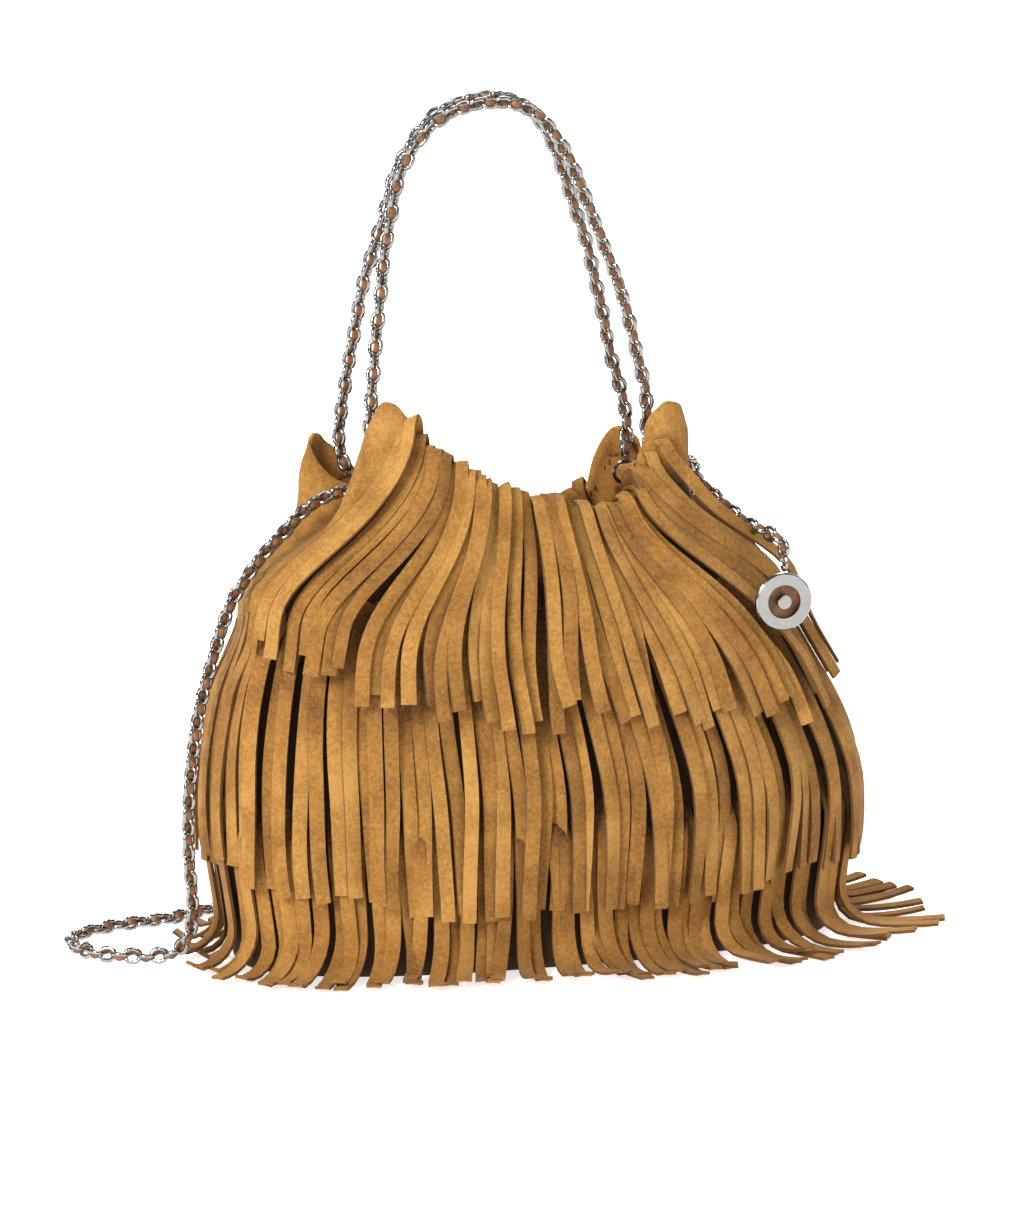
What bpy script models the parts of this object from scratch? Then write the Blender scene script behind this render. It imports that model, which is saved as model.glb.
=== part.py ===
"""A fringed suede shoulder bag: a soft open body, three tiers of suede fringe, two chain handles, one long
chain strap and a hanging medallion. Metres, +Z up, front towards -Y, origin at the middle of the base."""

import math

import bmesh
import bpy
import numpy as np

# The body, as superellipse sections at these heights.
SECTION_Z = (0.0, 0.030, 0.060, 0.090, 0.120, 0.150, 0.170, 0.190, 0.216, 0.240, 0.290)
HALF_WIDTH = (0.154, 0.157, 0.162, 0.163, 0.156, 0.144, 0.133, 0.122, 0.104, 0.092, 0.088)
HALF_DEPTH = (0.060, 0.062, 0.064, 0.064, 0.061, 0.057, 0.054, 0.051, 0.048, 0.047, 0.047)
LEAN_X = (0.002, 0.002, 0.002, 0.002, -0.003, -0.009, -0.012, -0.013, -0.013, -0.015, -0.016)
ROUNDNESS = 2.6
GUSSET_ANGLE = math.radians(15)
# The rim's height along each panel, from its left end (-1) to its right end (+1).
FRONT_RIM = (
    (-1.0, 0.226), (-0.93, 0.250), (-0.84, 0.281), (-0.76, 0.287), (-0.64, 0.275), (-0.54, 0.260),
    (-0.45, 0.251), (-0.28, 0.243), (-0.12, 0.235), (0.14, 0.227), (0.46, 0.223), (0.58, 0.232),
    (0.68, 0.256), (0.77, 0.278), (0.87, 0.278), (0.95, 0.258), (1.0, 0.226),
)
BACK_RIM = (
    (-1.0, 0.226), (-0.95, 0.250), (-0.87, 0.263), (-0.76, 0.254), (-0.60, 0.232), (-0.40, 0.214),
    (0.0, 0.206), (0.38, 0.209), (0.54, 0.219), (0.65, 0.238), (0.78, 0.257), (0.89, 0.252), (1.0, 0.226),
)
# The two gussets fold inwards by the pinch, from its start up to the rim.
PINCH = 0.030
PINCH_ANGLE = math.radians(16)
PINCH_START = 0.150
PINCH_RISE = 0.090

# Thicknesses of the soft walls and the base, and how far each lies inside the one before.
SUEDE = 0.0014
LINING = 0.0008
LINING_INSET = 0.0056
LINING_DROP = 0.038
BASE_INSET = 0.0030
BOARD_INSET = 0.0060
BASE_THICK = 0.0018
BOARD_THICK = 0.0020
GAP = 0.0004
SEAM_ANGLE = math.radians(1.0)

# The fringe: how far each tier stands off the body, and where its strips start and end.
STRIPS = 20
SLIT = 0.16
UPPER_OFFSET = 0.0125
UPPER_TUCK = 0.0080
MIDDLE_OFFSET = 0.0085
MIDDLE_SWING = 0.005
LOWER_OFFSET = 0.0026
BELOW_RIM = 0.004
UPPER_END = 0.128
UPPER_END_RISE = 0.030
MIDDLE_TOP = 0.172
MIDDLE_END = 0.020
MIDDLE_END_RISE = 0.016
LOWER_TOP = 0.078
LOWER_END = 0.0016
# The upper tier stops short of each gusset, further at the right; the other tiers nearly meet there.
UPPER_LEFT_STOP = math.radians(17)
UPPER_RIGHT_STOP = math.radians(33)
TIER_STOP = math.radians(1.2)

# The chains, and the rings and tabs that they end in.
CHAIN_DIAMETER = 0.0080
HANDLE_POINTS = 64
STRAP_POINTS = 80
CHARM_CHAIN_POINTS = 8
RING_RADIUS = 0.0055
RING_WIRE = 0.0010
STRAP_RING_X = (0.0795, 0.0545)
TAB_WIDTH = 0.010
TAB_THICK = 0.0030
TAB_LENGTH = 0.022

# The medallion: a flat silver ring, a leather disc behind it and a stud in its middle.
CHARM_CENTRE = (0.1140, -0.0590, 0.1790)
CHARM_RADIUS = 0.0145
CHARM_THICK = 0.0030
CHARM_HOLE_RADIUS = 0.0085
CHARM_EDGE = 0.0006
CHARM_LEATHER = 0.0016
CHARM_STUD_RADIUS = 0.0038
CHARM_RING_RADIUS = 0.0042
CHARM_RING_WIRE = 0.0008

# The magnetic snap on the lining.
SNAP_X = -0.012
SNAP_Z = 0.196
SNAP_RADIUS = 0.009
SNAP_THICK = 0.0030

SUEDE_COLOUR = (0.47, 0.27, 0.09, 1)
LINING_COLOUR = (0.36, 0.25, 0.14, 1)
SILVER_COLOUR = (0.80, 0.80, 0.79, 1)
LEATHER_COLOUR = (0.36, 0.16, 0.05, 1)
BOARD_COLOUR = (0.20, 0.16, 0.12, 1)


def clear_scene():
    for obj in list(bpy.data.objects):
        bpy.data.objects.remove(obj, do_unlink=True)


def material(name, colour, roughness, metallic=0.0):
    made = bpy.data.materials.new(name)
    made.use_nodes = True
    shader = made.node_tree.nodes["Principled BSDF"]
    shader.inputs["Base Color"].default_value = colour
    shader.inputs["Roughness"].default_value = roughness
    shader.inputs["Metallic"].default_value = metallic
    return made


def add_object(name, mesh, finish, collection):
    obj = bpy.data.objects.new(name, mesh)
    obj.data.materials.append(finish)
    collection.objects.link(obj)
    return obj


def ease(x):
    """The smooth step of x held between 0 and 1."""
    x = np.clip(x, 0, 1)
    return x * x * (3 - 2 * x)


def across(angle):
    """How far across its panel an angle lies, from -1 at the left gusset to 1 at the right one."""
    c = np.cos(angle)
    return np.sign(c) * np.abs(c) ** (2 / ROUNDNESS)


def read_table(table, at):
    places, values = np.array(table).T
    return np.interp(at, places, values)


def rim_height(angle):
    at = across(angle)
    return np.where(np.sin(angle) < 0, read_table(FRONT_RIM, at), read_table(BACK_RIM, at))


def body_point(angle, z, offset):
    """A point on the body's outer skin moved outwards by offset: a superellipse, pinched at the gussets."""
    half_width = np.interp(z, SECTION_Z, HALF_WIDTH) + offset
    half_depth = np.interp(z, SECTION_Z, HALF_DEPTH) + offset
    lean = np.interp(z, SECTION_Z, LEAN_X)
    c, s = np.cos(angle), np.sin(angle)
    x = half_width * np.sign(c) * np.abs(c) ** (2 / ROUNDNESS)
    y = half_depth * np.sign(s) * np.abs(s) ** (2 / ROUNDNESS)
    side_angle = np.arccos(np.clip(np.abs(c), 0, 1))
    fold = ease((z - PINCH_START) / PINCH_RISE) * np.exp(-((side_angle / PINCH_ANGLE) ** 2))
    return np.stack([lean + x - np.sign(c) * PINCH * fold, y, z + 0 * x], axis=-1)


def grid_mesh(name, points, keep=None):
    """A mesh of quads on a grid of points, rows by columns; keep says which quads stay."""
    rows, columns = points.shape[:2]
    index = np.arange(rows * columns).reshape(rows, columns)
    corners = [index[:-1, :-1], index[:-1, 1:], index[1:, 1:], index[1:, :-1]]
    quads = np.stack(corners, axis=-1)
    if keep is not None:
        quads = quads[keep]
    mesh = bpy.data.meshes.new(name)
    mesh.from_pydata(points.reshape(-1, 3).tolist(), [], quads.reshape(-1, 4).tolist())
    cleaner = bmesh.new()
    cleaner.from_mesh(mesh)
    loose = [v for v in cleaner.verts if not v.link_faces]
    bmesh.ops.delete(cleaner, geom=loose, context="VERTS")
    cleaner.to_mesh(mesh)
    cleaner.free()
    mesh.shade_smooth()
    return mesh


def solidify(obj, thickness, offset=-1.0):
    wall = obj.modifiers.new("Thickness", "SOLIDIFY")
    wall.thickness = thickness
    wall.offset = offset
    return wall


def add_panel(name, start, end, columns, finish, collection):
    """A wall of the body between two angles, from just above the floor up to the rim."""
    angle = np.linspace(start, end, columns)[None, :]
    height = np.linspace(0, 1, 9)[:, None]
    z = GAP + height * (rim_height(angle) - GAP)
    points = body_point(angle + 0 * z, z, 0.0)
    obj = add_object(name, grid_mesh(name, points), finish, collection)
    solidify(obj, SUEDE)
    return obj


def body_outline(inset, steps=40):
    angle = np.linspace(0, 2 * math.pi, steps, endpoint=False)
    return body_point(angle, 0 * angle, -inset)


def add_plate(name, inset, bottom, thickness, finish, collection):
    """A flat plate in the outline of the base."""
    outline = body_outline(inset)
    outline[:, 2] = bottom
    mesh = bpy.data.meshes.new(name)
    maker = bmesh.new()
    face = maker.faces.new([maker.verts.new(p) for p in outline])
    raised = bmesh.ops.extrude_face_region(maker, geom=[face])
    top = [v for v in raised["geom"] if isinstance(v, bmesh.types.BMVert)]
    bmesh.ops.translate(maker, verts=top, vec=(0, 0, thickness))
    bmesh.ops.recalc_face_normals(maker, faces=maker.faces)
    maker.to_mesh(mesh)
    maker.free()
    return add_object(name, mesh, finish, collection)


def add_lining(name, finish, collection):
    """The inner sack: a wall inside the panels and a floor above the board, in one open surface."""
    steps = 56
    floor_z = BASE_THICK + BOARD_THICK + 4 * GAP
    angle = np.linspace(0, 2 * math.pi, steps, endpoint=False)[None, :]
    height = np.linspace(0, 1, 8)[:, None]
    top = rim_height(angle) - LINING_DROP
    z = floor_z + height * (top - floor_z)
    points = body_point(angle + 0 * z, z, -LINING_INSET)
    rows, columns = points.shape[:2]
    index = np.arange(rows * columns).reshape(rows, columns)
    following = np.roll(index, -1, axis=1)
    quads = np.stack([index[:-1], following[:-1], following[1:], index[1:]], axis=-1).reshape(-1, 4)
    faces = quads.tolist() + [index[0, ::-1].tolist()]
    mesh = bpy.data.meshes.new(name)
    mesh.from_pydata(points.reshape(-1, 3).tolist(), [], faces)
    obj = add_object(name, mesh, finish, collection)
    solidify(obj, LINING)
    return obj


def add_fringe(name, start, end, top, bottom, offset, finish, collection, rows=4):
    """A comb of strips hanging outside the body: a whole band at the top, then slits down to the cut ends.
    top, bottom and offset are functions of the angle, of the angle, and of the angle and the share down."""
    per_strip = 2
    edges = np.linspace(start, end, STRIPS + 1)
    width = edges[1] - edges[0]
    half_slit = 0.5 * SLIT * width
    columns = np.stack([edges[:-1] + half_slit, edges[1:] - half_slit], axis=1).ravel()
    angle = columns[None, :]
    share = np.concatenate([[0.0, 0.06], np.linspace(0.06, 1, rows)[1:]])[:, None]
    high = top(angle)
    z = high + share * (bottom(angle) - high)
    points = body_point(angle + 0 * z, z, offset(angle, share))
    keep = np.ones((len(share) - 1, len(columns) - 1), bool)
    keep[1:, per_strip - 1::per_strip] = False
    obj = add_object(name, grid_mesh(name, points, keep), finish, collection)
    solidify(obj, SUEDE)
    return obj


def smooth_route(route, count):
    """Points evenly spaced along a Catmull-Rom curve through the route's own points."""
    p = np.array(route, float)
    p = np.vstack([2 * p[0] - p[1], p, 2 * p[-1] - p[-2]])
    t = np.linspace(0, 1, 24, endpoint=False)[:, None]
    runs = []
    for i in range(1, len(p) - 2):
        a, b, c, d = p[i - 1], p[i], p[i + 1], p[i + 2]
        curve = 2 * b + (c - a) * t + (2 * a - 5 * b + 4 * c - d) * t**2 + (3 * b - a - 3 * c + d) * t**3
        runs.append(0.5 * curve)
    fine = np.vstack(runs + [p[-2]])
    steps = np.linalg.norm(np.diff(fine, axis=0), axis=1)
    length = np.concatenate([[0], np.cumsum(steps)])
    at = np.linspace(0, length[-1], count)
    return np.stack([np.interp(at, length, fine[:, i]) for i in range(3)], axis=1)


def add_tube(name, route, diameter, count, finish, collection):
    """A round tube along a route, for a chain."""
    data = bpy.data.curves.new(name, "CURVE")
    data.dimensions = "3D"
    data.bevel_depth = diameter / 2
    data.bevel_resolution = 2
    data.use_fill_caps = True
    spline = data.splines.new("POLY")
    spline.points.add(count - 1)
    for point, place in zip(spline.points, smooth_route(route, count)):
        point.co = (*place, 1)
    return add_object(name, data, finish, collection)


def add_ring(name, centre, radius, wire, turn, finish, collection):
    bpy.ops.mesh.primitive_torus_add(
        major_radius=radius, minor_radius=wire, major_segments=20, minor_segments=6,
        location=centre, rotation=turn,
    )
    return adopt(bpy.context.active_object, name, finish, collection)


def adopt(obj, name, finish, collection):
    for other in list(obj.users_collection):
        other.objects.unlink(obj)
    collection.objects.link(obj)
    obj.name = name
    obj.data.name = name
    obj.data.materials.append(finish)
    return obj


def add_disc(name, centre, radius, thickness, turn, finish, collection, bevel=0.0, sides=32):
    bpy.ops.mesh.primitive_cylinder_add(
        vertices=sides, radius=radius, depth=thickness, location=centre, rotation=turn
    )
    obj = adopt(bpy.context.active_object, name, finish, collection)
    if bevel:
        edge = obj.modifiers.new("Edge", "BEVEL")
        edge.width = bevel
        edge.segments = 2
        edge.limit_method = "ANGLE"
    return obj


def add_tab(name, centre, size, finish, collection):
    """A folded leather tab that holds a ring to the lining."""
    bpy.ops.mesh.primitive_cube_add(size=1, location=centre)
    obj = adopt(bpy.context.active_object, name, finish, collection)
    obj.scale = size
    bpy.context.view_layer.objects.active = obj
    obj.select_set(True)
    bpy.ops.object.transform_apply(location=False, rotation=False, scale=True)
    edge = obj.modifiers.new("Edge", "BEVEL")
    edge.width = 0.0006
    edge.segments = 1
    return obj


# Where each handle strand comes down into the mouth, and its way up to the top of the arch.
HANDLE_ENDS = {
    "front_left": (-0.0865, -0.0210, 0.2520),
    "front_right": (0.0545, -0.0205, 0.2520),
    "back_left": (-0.0880, 0.0210, 0.2400),
    "back_right": (0.0560, 0.0205, 0.2400),
}
FRONT_HANDLE_ROUTE = (
    (-0.0865, -0.0210, 0.2520),
    (-0.0880, -0.0240, 0.2680),
    (-0.0873, -0.0240, 0.2830),
    (-0.0850, -0.0210, 0.2990),
    (-0.0828, -0.0170, 0.3130),
    (-0.0789, -0.0120, 0.3350),
    (-0.0768, -0.0090, 0.3490),
    (-0.0731, -0.0062, 0.3660),
    (-0.0665, -0.0050, 0.3930),
    (-0.0520, -0.0047, 0.4135),
    (-0.0370, -0.0047, 0.4220),
    (-0.0190, -0.0047, 0.4250),
    (-0.0030, -0.0047, 0.4215),
    (0.0075, -0.0052, 0.4130),
    (0.0180, -0.0075, 0.3960),
    (0.0270, -0.0100, 0.3735),
    (0.0341, -0.0140, 0.3535),
    (0.0408, -0.0170, 0.3345),
    (0.0453, -0.0200, 0.3170),
    (0.0494, -0.0220, 0.2980),
    (0.0534, -0.0230, 0.2790),
    (0.0545, -0.0205, 0.2520),
)
BACK_HANDLE_ROUTE = (
    (-0.0880, 0.0210, 0.2400),
    (-0.0915, 0.0240, 0.2570),
    (-0.0882, 0.0220, 0.2870),
    (-0.0847, 0.0170, 0.3130),
    (-0.0810, 0.0120, 0.3380),
    (-0.0725, 0.0062, 0.3690),
    (-0.0650, 0.0050, 0.3940),
    (-0.0505, 0.0047, 0.4150),
    (-0.0365, 0.0047, 0.4235),
    (-0.0190, 0.0047, 0.4265),
    (-0.0035, 0.0047, 0.4230),
    (0.0070, 0.0052, 0.4135),
    (0.0170, 0.0075, 0.3950),
    (0.0258, 0.0105, 0.3710),
    (0.0333, 0.0140, 0.3520),
    (0.0395, 0.0170, 0.3300),
    (0.0447, 0.0200, 0.3110),
    (0.0485, 0.0220, 0.2940),
    (0.0531, 0.0230, 0.2800),
    (0.0577, 0.0235, 0.2600),
    (0.0560, 0.0205, 0.2400),
)
# The long strap: out of the left gusset, down the side, a loop on the floor, then behind the bag and up.
STRAP_ROUTE = (
    (-0.0812, 0.0000, 0.2315),
    (-0.0900, 0.0000, 0.2345),
    (-0.1020, -0.0010, 0.2335),
    (-0.1150, -0.0020, 0.2270),
    (-0.1262, -0.0040, 0.2170),
    (-0.1384, -0.0060, 0.2055),
    (-0.1475, -0.0080, 0.1945),
    (-0.1567, -0.0100, 0.1800),
    (-0.1680, -0.0120, 0.1470),
    (-0.1744, -0.0140, 0.1220),
    (-0.1787, -0.0160, 0.0880),
    (-0.1790, -0.0150, 0.0580),
    (-0.1768, -0.0120, 0.0350),
    (-0.1775, -0.0080, 0.0180),
    (-0.1835, -0.0030, 0.0075),
    (-0.1925, 0.0015, 0.0046),
    (-0.2055, 0.0050, 0.0046),
    (-0.2187, 0.0130, 0.0046),
    (-0.2265, 0.0253, 0.0046),
    (-0.2278, 0.0392, 0.0046),
    (-0.2205, 0.0520, 0.0046),
    (-0.2050, 0.0610, 0.0046),
    (-0.1870, 0.0655, 0.0046),
    (-0.1700, 0.0690, 0.0046),
    (-0.1480, 0.0800, 0.0046),
    (-0.1150, 0.0990, 0.0046),
    (-0.0700, 0.1120, 0.0046),
    (-0.0150, 0.1180, 0.0046),
    (0.0400, 0.1180, 0.0046),
    (0.0820, 0.1120, 0.0070),
    (0.1040, 0.1000, 0.0270),
    (0.1060, 0.0860, 0.0650),
    (0.1040, 0.0800, 0.1100),
    (0.0990, 0.0710, 0.1500),
    (0.0985, 0.0570, 0.1900),
    (0.0985, 0.0420, 0.2180),
    (0.0930, 0.0240, 0.2350),
    (0.0810, 0.0090, 0.2385),
    (0.0680, 0.0030, 0.2350),
    (0.0574, 0.0020, 0.2315),
)
# The short chain that the medallion hangs from, lying down the right shoulder of the fringe.
CHARM_ROUTE = (
    (0.0740, -0.0060, 0.2400),
    (0.0830, -0.0080, 0.2345),
    (0.0915, -0.0125, 0.2265),
    (0.0990, -0.0220, 0.2185),
    (0.1055, -0.0350, 0.2130),
    (0.1110, -0.0480, 0.2095),
    (0.1145, -0.0575, 0.2085),
)
# How far the lower tier reaches out along the floor, by the place across the front or back.
FRONT_REACH = (
    (-1.0, 0.012), (-0.90, 0.020), (-0.60, 0.014), (-0.30, 0.028), (0.0, 0.033), (0.45, 0.033),
    (0.70, 0.038), (0.90, 0.045), (1.0, 0.050),
)
BACK_REACH = ((-1.0, 0.012), (-0.60, 0.012), (0.0, 0.022), (0.60, 0.026), (0.85, 0.040), (1.0, 0.050))


def lower_offset(angle, share):
    """The lower tier leaves the body at its top and turns out along the floor near its end."""
    at = across(angle)
    reach = np.where(np.sin(angle) < 0, read_table(FRONT_REACH, at), read_table(BACK_REACH, at))
    return LOWER_OFFSET + reach * share**6


def upper_end(angle):
    return UPPER_END + UPPER_END_RISE * np.abs(np.cos(angle)) ** 3


def upper_offset(angle, share):
    """The upper tier starts tucked against the rim and soon stands clear of the tier below."""
    return UPPER_OFFSET - UPPER_TUCK * (1 - share) ** 6 + 0 * angle


def middle_end(angle):
    return MIDDLE_END + MIDDLE_END_RISE * np.cos(angle) ** 2


def middle_offset(angle, share):
    return MIDDLE_OFFSET + MIDDLE_SWING * share**3 + 0 * angle


def add_fringes(suede, collection):
    for side, start in (("front", math.pi), ("back", 0.0)):
        end = start + math.pi
        first, last = UPPER_LEFT_STOP, UPPER_RIGHT_STOP
        if side == "back":
            first, last = last, first
        add_fringe(
            f"{side}_upper_fringe", start + first, end - last,
            lambda angle: rim_height(angle) - BELOW_RIM, upper_end, upper_offset, suede, collection, rows=5,
        )
        add_fringe(
            f"{side}_middle_fringe", start + TIER_STOP, end - TIER_STOP,
            lambda angle: MIDDLE_TOP + 0 * angle, middle_end, middle_offset, suede, collection,
        )
        add_fringe(
            f"{side}_lower_fringe", start + TIER_STOP, end - TIER_STOP,
            lambda angle: LOWER_TOP + 0 * angle, lambda angle: LOWER_END + 0 * angle, lower_offset,
            suede, collection, rows=6,
        )


def add_handles(chain, silver, leather, collection):
    """Two chain handles, and at each of their four ends a ring and the tab that holds it."""
    add_tube("front_handle_chain", FRONT_HANDLE_ROUTE, CHAIN_DIAMETER, HANDLE_POINTS, chain, collection)
    add_tube("back_handle_chain", BACK_HANDLE_ROUTE, CHAIN_DIAMETER, HANDLE_POINTS, chain, collection)
    facing = (math.pi / 2, 0, 0)
    for place, (x, y, z) in HANDLE_ENDS.items():
        ring_z = z - RING_RADIUS - RING_WIRE - GAP
        tab_z = ring_z - RING_RADIUS - RING_WIRE - GAP - TAB_LENGTH / 2
        add_ring(f"{place}_handle_ring", (x, y, ring_z), RING_RADIUS, RING_WIRE, facing, silver, collection)
        size = (TAB_WIDTH, TAB_THICK, TAB_LENGTH)
        add_tab(f"{place}_handle_tab", (x, y, tab_z), size, leather, collection)


def add_strap(chain, silver, leather, collection):
    """The long strap and the charm's short chain, and a ring and a tab at each gusset."""
    add_tube("long_strap_chain", STRAP_ROUTE, CHAIN_DIAMETER, STRAP_POINTS, chain, collection)
    add_tube("charm_chain", CHARM_ROUTE, CHAIN_DIAMETER, CHARM_CHAIN_POINTS, chain, collection)
    facing = (0, math.pi / 2, 0)
    ring_z = STRAP_ROUTE[0][2]
    tab_z = ring_z - RING_RADIUS - RING_WIRE - GAP - TAB_LENGTH / 2
    for side, x in (("left", -STRAP_RING_X[0]), ("right", STRAP_RING_X[1])):
        add_ring(f"{side}_strap_ring", (x, 0.0, ring_z), RING_RADIUS, RING_WIRE, facing, silver, collection)
        add_tab(f"{side}_strap_tab", (x, 0.0, tab_z), (TAB_THICK, TAB_WIDTH, TAB_LENGTH), leather, collection)


def add_charm(silver, leather, collection):
    """A ring through the charm chain's last link, and the medallion on it."""
    x, y, z = CHARM_CENTRE
    facing = (math.pi / 2, 0, 0)
    half = CHARM_THICK / 2
    outer, edge = CHARM_RADIUS, CHARM_EDGE
    profile = [(CHARM_HOLE_RADIUS, half), (outer - edge, half), (outer, half - edge)]
    profile += [(outer, edge - half), (outer - edge, -half), (CHARM_HOLE_RADIUS, -half)]
    mesh = bpy.data.meshes.new("charm_plate")
    edges = [(i, (i + 1) % len(profile)) for i in range(len(profile))]
    mesh.from_pydata([(radius, 0, height) for radius, height in profile], edges, [])
    plate = add_object("charm_plate", mesh, silver, collection)
    turned = plate.modifiers.new("Turned", "SCREW")
    turned.steps = turned.render_steps = 36
    turned.merge_threshold = 0.0001
    turned.use_merge_vertices = True
    plate.location = (x, y, z)
    plate.rotation_euler = facing
    back = y + half + GAP + CHARM_LEATHER / 2
    leather_radius = CHARM_RADIUS * 0.92
    add_disc("charm_leather_back", (x, back, z), leather_radius, CHARM_LEATHER, facing, leather, collection)
    length = CHARM_THICK + CHARM_LEATHER / 2
    stud = back - CHARM_LEATHER / 2 - GAP - length / 2
    add_disc(
        "charm_stud", (x, stud, z), CHARM_STUD_RADIUS, length, facing, silver, collection,
        bevel=0.0008, sides=20,
    )
    ring_z = z + CHARM_RADIUS + CHARM_RING_RADIUS + CHARM_RING_WIRE + GAP
    turn = (0, math.pi / 2, 0)
    add_ring("charm_ring", (x, y, ring_z), CHARM_RING_RADIUS, CHARM_RING_WIRE, turn, silver, collection)


def add_snap(silver, collection):
    """The magnetic snap: a cup on the front lining and a stud on the back one."""
    facing = (math.pi / 2, 0, 0)
    depth = float(np.interp(SNAP_Z + SNAP_RADIUS, SECTION_Z, HALF_DEPTH))
    wall = depth - LINING_INSET - LINING - GAP - SNAP_THICK / 2
    for name, side in (("snap_cup", -1), ("snap_stud", 1)):
        place = (SNAP_X, side * wall, SNAP_Z)
        add_disc(name, place, SNAP_RADIUS, SNAP_THICK, facing, silver, collection, bevel=0.0005, sides=24)


def main():
    clear_scene()
    collection = bpy.data.collections.new("fringed_suede_bag")
    bpy.context.scene.collection.children.link(collection)
    suede = material("suede", SUEDE_COLOUR, 0.95)
    lining = material("lining", LINING_COLOUR, 0.85)
    board = material("board", BOARD_COLOUR, 0.8)
    silver = material("silver_metal", SILVER_COLOUR, 0.15, 1.0)
    leather = material("leather", LEATHER_COLOUR, 0.55)
    chain = material("chain", SILVER_COLOUR, 0.25, 1.0)

    inner, outer = GUSSET_ANGLE, GUSSET_ANGLE + SEAM_ANGLE
    add_panel("front_panel", math.pi + outer, 2 * math.pi - outer, 29, suede, collection)
    add_panel("back_panel", outer, math.pi - outer, 29, suede, collection)
    add_panel("right_gusset", -inner, inner, 7, suede, collection)
    add_panel("left_gusset", math.pi - inner, math.pi + inner, 7, suede, collection)
    add_plate("base_panel", BASE_INSET, 0.0, BASE_THICK, suede, collection)
    add_plate("base_board", BOARD_INSET, BASE_THICK + GAP, BOARD_THICK, board, collection)
    add_lining("lining", lining, collection)
    add_snap(silver, collection)
    add_fringes(suede, collection)
    add_handles(chain, silver, leather, collection)
    add_strap(chain, silver, leather, collection)
    add_charm(silver, leather, collection)


main()
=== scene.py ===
"""The looks of a fringed suede bag: its sagging body, each strip of fringe, woven chains and medallion."""

import math

import bpy
import numpy as np
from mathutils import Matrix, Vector


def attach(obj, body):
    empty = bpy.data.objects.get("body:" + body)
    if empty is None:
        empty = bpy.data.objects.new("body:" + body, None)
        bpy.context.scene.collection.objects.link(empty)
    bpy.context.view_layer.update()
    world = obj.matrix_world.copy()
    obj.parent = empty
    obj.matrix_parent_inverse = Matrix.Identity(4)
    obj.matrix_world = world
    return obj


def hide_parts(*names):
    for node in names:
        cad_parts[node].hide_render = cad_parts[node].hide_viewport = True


bl_info = {
    "name": "Fringed Suede Bag",
    "version": (1, 0, 0),
    "blender": (4, 5, 0),
    "location": "View3D > Sidebar > Suede Bag",
    "description": "Builds the suede body, cut fringe, woven chains and medallion of a fringed bag",
    "category": "Add Mesh",
}

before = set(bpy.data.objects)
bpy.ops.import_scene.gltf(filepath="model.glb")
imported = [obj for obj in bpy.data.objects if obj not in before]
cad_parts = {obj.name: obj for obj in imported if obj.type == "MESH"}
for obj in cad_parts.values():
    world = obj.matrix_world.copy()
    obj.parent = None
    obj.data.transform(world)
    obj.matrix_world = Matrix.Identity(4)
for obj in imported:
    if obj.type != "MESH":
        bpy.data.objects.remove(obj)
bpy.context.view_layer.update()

# The body's superellipse sections, the same as the frame's panels.
SECTION_Z = (0.0, 0.030, 0.060, 0.090, 0.120, 0.150, 0.170, 0.190, 0.216, 0.240, 0.290)
HALF_WIDTH = (0.154, 0.157, 0.162, 0.163, 0.156, 0.144, 0.133, 0.122, 0.104, 0.092, 0.088)
HALF_DEPTH = (0.060, 0.062, 0.064, 0.064, 0.061, 0.057, 0.054, 0.051, 0.048, 0.047, 0.047)
LEAN_X = (0.002, 0.002, 0.002, 0.002, -0.003, -0.009, -0.012, -0.013, -0.013, -0.015, -0.016)
ROUNDNESS = 2.6
PINCH = 0.030
PINCH_ANGLE = math.radians(16)
# The shoulders swell out to the left and right under the strap's chain, most at this height.
SHOULDER_Z, SHOULDER_SPREAD, SHOULDER_LEFT, SHOULDER_RIGHT = 0.195, 0.025, 0.011, 0.010
# The front right corner of the rim flares out by this much around this angle.
CORNER_FLARE, CORNER_ANGLE, CORNER_SPREAD = 0.008, math.radians(327), math.radians(17)
# The back left corner folds outwards as a flap, only sideways.
FLAP, FLAP_ANGLE, FLAP_SPREAD = 0.017, math.radians(142), math.radians(22)

# The rim's height along each panel, from its left end (-1) to its right end (+1).
FRONT_RIM = (
    (-1.0, 0.226), (-0.93, 0.250), (-0.84, 0.281), (-0.76, 0.287), (-0.64, 0.275), (-0.54, 0.260),
    (-0.45, 0.251), (-0.28, 0.243), (-0.12, 0.235), (0.14, 0.227), (0.46, 0.223), (0.58, 0.232),
    (0.68, 0.256), (0.77, 0.278), (0.87, 0.279), (0.95, 0.268), (1.0, 0.230),
)
BACK_RIM = (
    (-1.0, 0.226), (-0.95, 0.250), (-0.87, 0.263), (-0.76, 0.254), (-0.60, 0.232), (-0.40, 0.214),
    (0.0, 0.206), (0.38, 0.209), (0.54, 0.219), (0.65, 0.238), (0.78, 0.257), (0.89, 0.252),
    (1.0, 0.226),
)


# ---------------------------------------------------------------- shapes


def ease(x):
    """The smooth step 3x^2 - 2x^3 of x held between 0 and 1."""
    x = np.clip(x, 0, 1)
    return x * x * (3 - 2 * x)


def across(angle):
    """How far across its panel an angle lies, -1 to 1: the superellipse's own signed power of the cosine."""
    c = np.cos(angle)
    return np.sign(c) * np.abs(c) ** (2 / ROUNDNESS)


def smooth_table(table, at):
    """A table of places and values read as a smooth curve: the mean of five reads up to 0.05 to each side."""
    places, values = np.array(table).T
    reads = [np.interp(at + shift, places, values) for shift in (-0.05, -0.025, 0.0, 0.025, 0.05)]
    return np.mean(reads, axis=0)


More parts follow.
